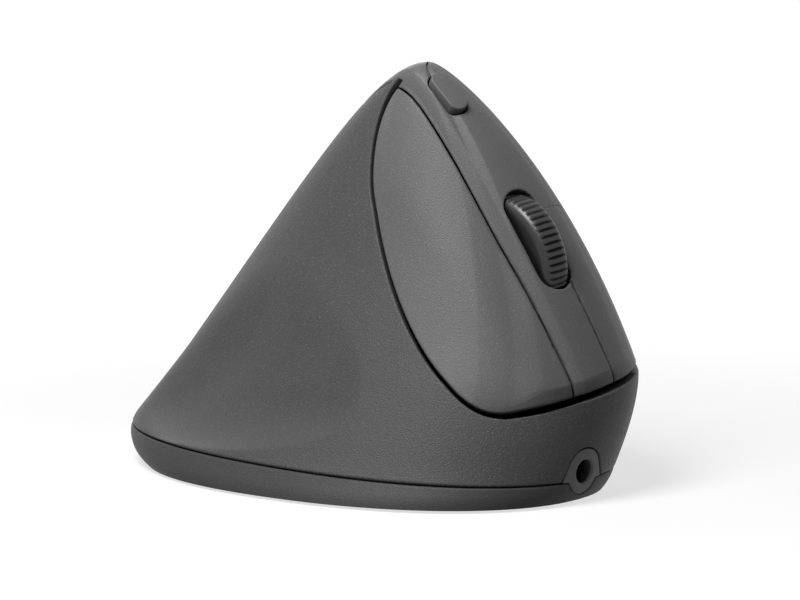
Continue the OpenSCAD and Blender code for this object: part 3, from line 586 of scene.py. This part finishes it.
# %% Thumb-side panel
CRISP_LIP = 0.18
PANEL_EDGE, SPINE_EDGE = (-SPINE_GAP / 2, -0.05), (0.2, 0.15)
primary = make_lid()
for at, n in panel_planes(*PANEL_EDGE):
    slice_off(primary, at, n)
round_lip(primary, lambda p: -panel_room(p, *PANEL_EDGE), CRISP_LIP)
thicken(primary, LID_WALL)
finish_piece(primary, "primary_panel", "primary_button", "button_plastic", "primary_button")

# %% [markdown]
# ## Spine cover and finger-side panel
# The finger-side panel bends at its upper end, so that end is only a hairline, while its long edge beside the spine
# is an open seam that starts at the slot's lower corner. The wheel's slot and the small button's hole are cut with
# fans of planes.

# %% Finger-side panel and spine cover
SEAM_RIGHT, SEAM_SKEW, BEND_Y, BEND_LINE, BEND_LEAN = 2.2, np.radians(2.6), 5.0, 0.05, np.radians(1.4)
BEND_Z = CREST - 1
SKEW = np.array([np.cos(SEAM_SKEW) * RIDGE[0] + np.sin(SEAM_SKEW) * RIDGE[1],
                 np.cos(SEAM_SKEW) * RIDGE[1] - np.sin(SEAM_SKEW) * RIDGE[0], RIDGE[2]])
bend_out = np.cos(BEND_LEAN) * SKEW[1] - np.sin(BEND_LEAN) * SKEW[2]
slot_planes = oblong_planes(RIDGE, AXLE, SLOT_L, SLOT_W)
dpi_planes = oblong_planes(PEAK, DPI_AT, DPI_L + 2 * DPI_GAP, DPI_W + 2 * DPI_GAP)


def near_slot(c):
    r = on_ridge(c)
    return (np.abs(r[:, 0]) < 6) & (np.abs(r[:, 1]) < 13) & (r[:, 2] > 0)


def near_dpi(c):
    r = on_peak(c)
    return (np.abs(r[:, 0]) < 5) & (np.abs(r[:, 1]) < 7.5) & (np.abs(r[:, 2]) < 4)


def slot_distance(p):
    r = on_ridge(p)
    return np.where(r[:, 2] > 0, oblong_distance(r[:, 0], r[:, 1], SLOT_L, SLOT_W), 9.0)


def dpi_distance(p):
    r = on_peak(p)
    hole = oblong_distance(r[:, 0], r[:, 1], DPI_L + 2 * DPI_GAP, DPI_W + 2 * DPI_GAP)
    return np.where(np.abs(r[:, 2]) < 4, hole, 9.0)


secondary = make_lid()
slice_off(secondary, AXLE + SEAM_RIGHT * SKEW[0], -SKEW[0])
slice_off(secondary, AXLE + BEND_Y * SKEW[1] + BEND_Z * SKEW[2], bend_out)
cut_room(secondary, slot_planes, near_slot)
round_lip(secondary, lambda p: np.minimum((p - AXLE) @ SKEW[0] - SEAM_RIGHT, slot_distance(p)), CRISP_LIP)
thicken(secondary, LID_WALL)
finish_piece(secondary, "secondary_panel", "secondary_button", "button_plastic", "secondary_button")


def spine_room(p):
    """Distance from the spine cover's own edges; the hairline at the bend is left sharp."""
    r = (p - AXLE) @ SKEW.T
    right = np.where((r[:, 1] < BEND_Y) & (r[:, 2] > -30), SEAM_RIGHT - SPINE_GAP - r[:, 0], 9.0)
    right = np.where(right < -0.01, 9.0, right)
    return np.min([panel_room(p, *SPINE_EDGE), right, slot_distance(p), dpi_distance(p)], axis=0)


HOLE_RIM = 0.6
spine = make_lid()
cut_room(spine, panel_planes(*SPINE_EDGE))
bend_at = AXLE + (SEAM_RIGHT - SPINE_GAP) * SKEW[0] + (BEND_Y + BEND_LINE) * SKEW[1]
cut_room(spine, [(bend_at, -SKEW[0]), (bend_at, SKEW[1])])
cut_room(spine, slot_planes, near_slot)
cut_room(spine, dpi_planes, near_dpi)
round_lip(spine, spine_room, CRISP_LIP)
wall_way = spine.verts.layers.float_vector["out"]
for vert, d in zip(spine.verts, dpi_distance(spots(spine))):
    if d < HOLE_RIM:
        vert[wall_way] = PEAK[2]
thicken(spine, LID_WALL)
finish_piece(spine, "spine_skin", "housing", "button_plastic", "spine_cover")

# %% [markdown]
# ## The small oblong button
# It stands proud of the spine with a flat top and a crisp, lightly rounded rim. Two half circles pulled apart make its
# outline; it is extruded down into its hole, and the top rim is bevelled.

# %% Small button
DPI_SKIRT, DPI_RIM = 1.8, 0.32
dpi = bmesh.new()
bmesh.ops.create_circle(dpi, cap_ends=True, segments=48, radius=DPI_W / 2)
for vert in dpi.verts:
    vert.co.y += np.sign(vert.co.y) * (DPI_L - DPI_W) / 2
    vert.co.z = -DPI_SKIRT
walls = bmesh.ops.extrude_face_region(dpi, geom=dpi.faces[:])
top = [g for g in walls["geom"] if isinstance(g, bmesh.types.BMVert)]
bmesh.ops.translate(dpi, verts=top, vec=(0, 0, DPI_SKIRT + DPI_PROUD))
bmesh.ops.recalc_face_normals(dpi, faces=dpi.faces[:])
rim = [e for e in dpi.edges if all(v in top for v in e.verts)]
bmesh.ops.bevel(dpi, geom=rim, offset=DPI_RIM, offset_type="OFFSET", affect="EDGES", segments=4, profile=0.5,
                material=-1)
place = Matrix([[*(PEAK[:, k] * MM), DPI_AT[k] * MM] for k in range(3)] + [[0, 0, 0, 1]])
bmesh.ops.transform(dpi, matrix=place, verts=dpi.verts[:])
for e in dpi.edges:
    e.smooth = e.calc_face_angle(0) < 0.6
finish_piece(dpi, "oblong_cap", "dpi_button", "small_button_plastic", "dpi_button")

# %% [markdown]
# ## The wheel's tread
# The tyre is black rubber with fine cross ribs that end before its rounded shoulders. A grid closed both ways carries
# the whole tyre: one way runs round the wheel, the other runs round the tyre's own cross-section.

# %% Ribbed tyre
RIBS, RIB_DEPTH, TYRE_T, SHOULDER = 56, 0.42, 2.0, 1.5
half_w = WHEEL_W / 2
profile = [(-half_w, WHEEL_R - TYRE_T)]
profile += [(-half_w + SHOULDER * (1 - np.cos(a)), WHEEL_R - SHOULDER * (1 - np.sin(a)))
            for a in np.radians([0, 15, 30, 45, 60, 75, 90])]
profile += [(x, WHEEL_R) for x in np.linspace(-half_w + SHOULDER, half_w - SHOULDER, 11)[1:-1]]
profile += [(-x, r) for x, r in profile[7:0:-1]] + [(half_w, WHEEL_R - TYRE_T), (-half_w, WHEEL_R - TYRE_T)]
profile = np.array(profile)
PITCH_STEPS = 8
groove = np.array([0, 0, 0, 0, 0, 0.55, 1.0, 0.55])


def tyre_place(u, v):
    x, r = profile[np.round(v * (len(profile) - 1)).astype(int)].T
    step = np.round(u * RIBS * PITCH_STEPS).astype(int)
    inner = np.clip((half_w - SHOULDER * 0.55 - np.abs(x)) / 0.35, 0, 1)
    crown = 0.12 * (x / half_w) ** 2
    cut = RIB_DEPTH * groove[step % PITCH_STEPS] * ease(inner) * (r > WHEEL_R - 0.7)
    r = r - np.where(r > WHEEL_R - SHOULDER, crown, 0) - cut
    a = 2 * np.pi * u
    spoke = np.cos(a)[:, None] * RIDGE[1] + np.sin(a)[:, None] * RIDGE[2]
    outward = np.where((r > WHEEL_R - TYRE_T / 2)[:, None], spoke, 0 * spoke)
    return AXLE + x[:, None] * RIDGE[0] + r[:, None] * spoke, outward


tyre = grid(RIBS * PITCH_STEPS, len(profile) - 1, tyre_place, ring=True)
for e in tyre.edges:
    if len(e.link_faces) == 2:
        e.smooth = e.calc_face_angle(0) < 0.75
finish_piece(tyre, "ribbed_tread", "wheel", "wheel_rubber", "wheel_tyre")

# %% [markdown]
# ## The lead collar
# At the front of the base a small round collar of its own material guards the hole for the lead, and spreads where it
# meets the parting line. A grid bent into a ring makes it in one go: one way runs round the hole, the other runs out
# of the bore, over its bevel, across the face and back along the outer wall. The face takes its depth from the skin.

# %% Lead collar
BORE_BEVEL, COLLAR_DEEP, FACE_ROUND, PAINTED_SHADE_FROM = 0.5, 6.4, 0.3, 1.5


def collar_edge(a):
    """How far the collar's outline lies from the hole's middle, at an angle."""
    r, c, h = COLLAR_R, np.abs(np.cos(a)), np.sin(a)
    foot = np.where(h < 0, collar_foot / np.minimum(h, -1e-6), 99.0)
    tip = np.array([r + COLLAR_FLARE, collar_foot])
    high = r * np.array([np.cos(SHOULDER_TURN), np.sin(SHOULDER_TURN)])
    side = np.array([high[1] - tip[1], tip[0] - high[0]])
    flare = (high @ side) / np.maximum(c * side[0] + h * side[1], 1e-6)
    return np.where(h > np.sin(SHOULDER_TURN), r, np.maximum(r, np.minimum(flare, foot)))


collar_rows = [(0.0, 0.0, COLLAR_DEEP), (0.0, 0.0, 2.0), (0.0, 0.0, BORE_BEVEL)]
collar_rows += [(0.0, BORE_BEVEL * (1 - np.cos(t)), BORE_BEVEL * (1 - np.sin(t)))
                for t in np.radians([25, 50, 70, 90])]
collar_rows += [(share, mix(BORE_BEVEL, -FACE_ROUND, share), 0.0) for share in np.linspace(0.1, 1.0, 9)]
collar_rows += [(1.0, FACE_ROUND * (np.sin(t) - 1), FACE_ROUND * (1 - np.cos(t)))
                for t in np.radians([25, 50, 70, 90])]
collar_rows += [(1.0, 0.0, COLLAR_DEEP), (0.0, 0.0, COLLAR_DEEP)]


def collar_place(u, v):
    share, more, deep = np.array(collar_rows)[np.round(v * (len(collar_rows) - 1)).astype(int)].T
    a = 2 * np.pi * u
    r = mix(LEAD_R, collar_edge(a), share) + more
    p = front_point(COLLAR_X + r * np.cos(a), np.maximum(COLLAR_Z + r * np.sin(a), 0.7))
    p[:, 1] = np.where(deep > 3, collar_at[1] + deep, p[:, 1] + 0.05 + deep)
    return p, np.where((deep == 0)[:, None], np.array([0, -1.0, 0]), 0.0)


collar = grid(144, len(collar_rows) - 1, collar_place, ring=True)
# Painted shade: the bore deeper than PAINTED_SHADE_FROM and the wall behind the face are marked to be painted near
# black.
inside = collar.verts.layers.float.new("inside")
for vert in collar.verts:
    vert[inside] = float(vert.co.y > (collar_at[1] + PAINTED_SHADE_FROM) * MM)
for e in collar.edges:
    if len(e.link_faces) == 2:
        e.smooth = e.calc_face_angle(0) < 0.7
finish_piece(collar, "lead_collar", "housing", "grommet_rubber", "cable_grommet")

# %% [markdown]
# ## Writing shaders as sums
# Node trees read best as arithmetic. `Val` wraps a socket so that `+`, `-` and `*` add Math nodes, and `Finish` owns
# one material, or the world, and has a single method that makes any other node.

# %% Shader helpers
class Val:
    def __init__(self, finish, socket):
        self.finish, self.socket = finish, socket

    def math(self, operation, a, b):
        return self.finish.math(operation, a, b)

    def __add__(self, other):
        return self.math("ADD", self, other)

    def __radd__(self, other):
        return self.math("ADD", other, self)

    def __sub__(self, other):
        return self.math("SUBTRACT", self, other)

    def __rsub__(self, other):
        return self.math("SUBTRACT", other, self)

    def __mul__(self, other):
        return self.math("MULTIPLY", self, other)

    def __rmul__(self, other):
        return self.math("MULTIPLY", other, self)


class Finish:
    def __init__(self, name, kind="materials", shader="Principled BSDF"):
        self.material = getattr(bpy.data, kind).new(name)
        self.material.use_nodes = True
        self.tree = self.material.node_tree
        self.shader = self.tree.nodes[shader]

    def node(self, kind, settings=(), inputs=(), out=0):
        made = self.tree.nodes.new(kind)
        for key, value in dict(settings).items():
            setattr(made, key, value)
        for key, value in dict(inputs).items():
            if isinstance(value, Val):
                self.tree.links.new(value.socket, made.inputs[key])
            else:
                made.inputs[key].default_value = value
        return Val(self, made.outputs[out])

    def place(self):
        return self.node("ShaderNodeTexCoord", out="Object")

    def noise(self, scale, detail=2.0, rough=0.5):
        return self.node("ShaderNodeTexNoise", {},
                         {"Vector": self.place(), "Scale": scale, "Detail": detail, "Roughness": rough})

    def inside(self):
        return self.node("ShaderNodeAttribute", {"attribute_name": "inside"}, out="Fac")

    def seen(self):
        """One for the rays that look straight at the backdrop or mirror it, zero for those that only light things."""
        looks = [self.node("ShaderNodeLightPath", out=f"Is {way} Ray") for way in ("Camera", "Glossy", "Transmission")]
        return self.math("MINIMUM", looks[0] + looks[1] + looks[2], 1.0)

    def math(self, operation, a, b):
        return self.node("ShaderNodeMath", {"operation": operation}, {0: a, 1: b})

    def cells(self, scale):
        return self.node("ShaderNodeTexVoronoi", {}, {"Vector": self.place(), "Scale": scale})

    def smooth(self, value, low, high, bottom=0.0, top=1.0):
        return self.node("ShaderNodeMapRange", {"interpolation_type": "SMOOTHSTEP"},
                         {"Value": value, "From Min": low, "From Max": high, "To Min": bottom, "To Max": top})

    def blend(self, share, a, b):
        return self.node("ShaderNodeMix", {"data_type": "RGBA"}, {0: share, 6: a, 7: b}, out=2)

    def bump(self, height, strength, reach):
        return self.node("ShaderNodeBump", {}, {"Height": height, "Strength": strength, "Distance": reach})

    def set(self, **sockets):
        for key, value in sockets.items():
            socket = self.shader.inputs[key.replace("_", " ")]
            if isinstance(value, Val):
                self.tree.links.new(value.socket, socket)
            else:
                socket.default_value = value
        return self.material


def grey(level):
    return (level, level, level * COOL, 1.0)


COOL = 1.02


# %% [markdown]
# ## Finishes
# The shell is charcoal plastic with a fine spark grain: a bump of tight cells, and tiny flecks that are a little
# lighter. The buttons are the same plastic with a finer, smoother grain. Noise on Object coordinates makes both, so
# the grain has the same size all over. Inner walls are painted black as painted shade, which keeps the gaps dark.

# %% Moulded plastics
# INNER_PAINTED_SHADE is the near-black painted shade that the inner walls get, so that the gaps read dark.
SHEEN, INNER_PAINTED_SHADE = 0.2, 0.002


def moulded(name, level, grain_scale, grain_depth, flecks, rough):
    f = Finish(name)
    grain = f.noise(grain_scale, 2.0, 0.6)
    cloud = f.noise(60.0, 2.0)
    spark = f.smooth(f.noise(grain_scale * 0.8, 1.0), 0.56, 0.74)
    pit = f.smooth(f.noise(grain_scale * 1.1, 1.0), 0.5, 0.3)
    tone = f.blend(f.smooth(cloud, 0.3, 0.7), grey(level * 0.96), grey(level * 1.04))
    tone = f.blend(pit * flecks, tone, grey(level * 0.45))
    tone = f.blend(spark * flecks, tone, grey(level * 2.0))
    # Painted shade: the marked inner walls are painted near black, so that the gaps read dark.
    tone = f.blend(f.inside(), tone, grey(INNER_PAINTED_SHADE))
    return f.set(Base_Color=tone, Roughness=rough + 0.14 * (grain - 0.5),
                 Normal=f.bump(grain + 0.5 * spark, grain_depth, 0.0002), Specular_IOR_Level=SHEEN)


FINISHES = {
    "shell_plastic": moulded("charcoal_spark_grain", 0.048, 4200.0, 0.5, 0.5, 0.45),
    "button_plastic": moulded("charcoal_satin", 0.08, 4600.0, 0.25, 0.25, 0.42),
    "base_plastic": moulded("charcoal_base", 0.035, 4200.0, 0.35, 0.25, 0.5),
    "small_button_plastic": moulded("charcoal_cap", 0.08, 4600.0, 0.2, 0.2, 0.42),
}


# %% [markdown]
# ## Rubber, boards and metal
# The tread and the lead's collar are rubber: black, soft and a little dusty. What lies behind the gaps is never seen
# well, yet it gets its own finish: boards with a faint pattern of traces, frames, steel screws and a clear lens. The
# boards, the frames and the encoder are painted far darker than their own colours, as painted shade that keeps the
# gaps black.

# %% Rubber, boards and metal
def rubber(name, level, rough):
    f = Finish(name)
    dust = f.noise(700.0, 3.0)
    tone = f.blend(f.smooth(dust, 0.4, 0.75), grey(level), grey(level * 1.5))
    # Painted shade: the marked inner faces, such as the collar's deep bore, are painted near black.
    tone = f.blend(f.inside(), tone, grey(INNER_PAINTED_SHADE / 4))
    return f.set(Base_Color=tone, Roughness=rough + 0.12 * (dust - 0.5), Normal=f.bump(f.noise(2400.0), 0.12, 0.0002))


def board(name):
    f = Finish(name)
    traces = f.smooth(f.cells(420.0), 0.25, 0.4)
    # Painted shade: both board colours are far darker than the board's own green, so that it reads black through the
    # gaps.
    tone = f.blend(traces, (0.004, 0.02, 0.009, 1), (0.008, 0.035, 0.016, 1))
    return f.set(Base_Color=tone, Roughness=0.4 + 0.1 * traces)


def tinted(name, colour, rough, metal=0.0, clear=0.0):
    f = Finish(name)
    wear = f.noise(900.0, 3.0)
    dark = tuple(c * 0.86 for c in colour) + (1,)
    return f.set(Base_Color=f.blend(f.smooth(wear, 0.35, 0.7), dark, tuple(colour) + (1,)),
                 Roughness=rough + 0.12 * (wear - 0.5), Metallic=metal, Transmission_Weight=clear)


FINISHES.update({
    "wheel_rubber": rubber("black_rubber", 0.007, 0.4),
    "grommet_rubber": rubber("charcoal_rubber", 0.035, 0.5),
    "wheel_plastic": tinted("black_hub", (0.006, 0.006, 0.0065), 0.4),
    # Painted shade: the frames, the encoder and the board are painted far darker than their own colours, so that the
    # gaps read black.
    "inner_plastic": tinted("frame_painted_shade", (0.01, 0.0105, 0.011), 0.55),
    "encoder_case": tinted("encoder_painted_shade", (0.02, 0.021, 0.022), 0.5),
    "circuit_board": board("board_painted_shade"),
    "switch_case": tinted("black_switch", (0.008, 0.008, 0.009), 0.45),
    "switch_pin": tinted("red_pin", (0.3, 0.03, 0.022), 0.4),
    "tact_pin": tinted("grey_pin", (0.1, 0.105, 0.11), 0.4),
    "chip_case": tinted("black_chip", (0.01, 0.01, 0.011), 0.5),
    "header_plastic": tinted("ivory_header", (0.5, 0.48, 0.44), 0.45),
    "screw_steel": tinted("plain_steel", (0.45, 0.46, 0.47), 0.35, metal=1.0),
    "glide_pad": tinted("slick_pad", (0.015, 0.015, 0.016), 0.3),
    "clear_lens": tinted("clear_lens", (0.86, 0.91, 0.94), 0.1, clear=1.0),
})
for piece, slot in PIECES:
    piece.data.materials.append(FINISHES[slot])
for part in frame["record"]["subparts"]:
    node = frame["nodes"][part["node"]]
    node.data.materials.clear()
    node.data.materials.append(FINISHES[part["material_slot"]])
print(len(FINISHES), "finishes on", len(PIECES), "new pieces and", len(frame["nodes"]), "nodes")

# %% [markdown]
# ## Floor and light
# A paper floor keeps the soft contact shadow. It glows, and more so further out, so that the camera sees white up to
# the horizon, and the sky does the same. Only rays from the eye and from mirror-like faces see that glow; it lights
# nothing.

# %% Stage
floor_bm = bmesh.new()
bmesh.ops.create_grid(floor_bm, x_segments=1, y_segments=1, size=6.0)
floor_mesh = bpy.data.meshes.new("floor")
floor_bm.to_mesh(floor_mesh)
floor_bm.free()
floor = bpy.data.objects.new("floor", floor_mesh)
bpy.context.scene.collection.objects.link(floor)
WHITE, SKY_FILL, NEAR_GLOW = 1.0, 0.04, 0.7
paper = Finish("white_paper")
away = paper.node("ShaderNodeVectorMath", {"operation": "LENGTH"}, {0: paper.place()}, out=1)
glow = paper.smooth(away, 0.06, 0.3, NEAR_GLOW, WHITE)
paper.set(Base_Color=paper.blend(paper.noise(40.0), (0.22, 0.22, 0.22, 1), (0.225, 0.225, 0.225, 1)), Roughness=0.9,
          Specular_IOR_Level=0.1, Emission_Color=paper.blend(paper.seen() * glow, (0, 0, 0, 1), (1, 1, 1, 1)),
          Emission_Strength=1.0)
floor.data.materials.append(paper.material)
sky = Finish("studio", "worlds", "Background")
sky.set(Color=sky.blend(sky.seen(), (SKY_FILL, SKY_FILL, SKY_FILL, 1), (WHITE, WHITE, WHITE, 1)), Strength=1.0)
bpy.context.scene.world = sky.material
print("floor and sky are white to the eye, and the sky gives", SKY_FILL, "of fill")

# %% [markdown]
# ## The lamps
# A small softbox hangs close above the thumb side, because the upward faces there are the bright ones, such as the top
# of the thumb panel. A weaker box opens up the far side. Each lamp is an area light that a look-at quaternion aims.

# %% Lamps
LAMPS = [("key_above", (-0.16, 0.0, 0.28), (0.14, 0.14), 1.5),
         ("back_fill", (0.5, 0.5, 0.4), (0.4, 0.4), 0.8)]


def softbox(name, at, size, watts):
    lamp = bpy.data.lights.new(name, "AREA")
    lamp.shape, lamp.size, lamp.size_y, lamp.energy = "RECTANGLE", size[0], size[1], watts
    box = bpy.data.objects.new(name, lamp)
    bpy.context.scene.collection.objects.link(box)
    box.location = at
    box.rotation_mode = "QUATERNION"
    box.rotation_quaternion = (Vector((0, 0, 0.04)) - Vector(at)).to_track_quat("-Z", "Y")


for lamp in LAMPS:
    softbox(*lamp)
bpy.context.scene.view_settings.view_transform = "Standard"
print(len(LAMPS), "lamps")
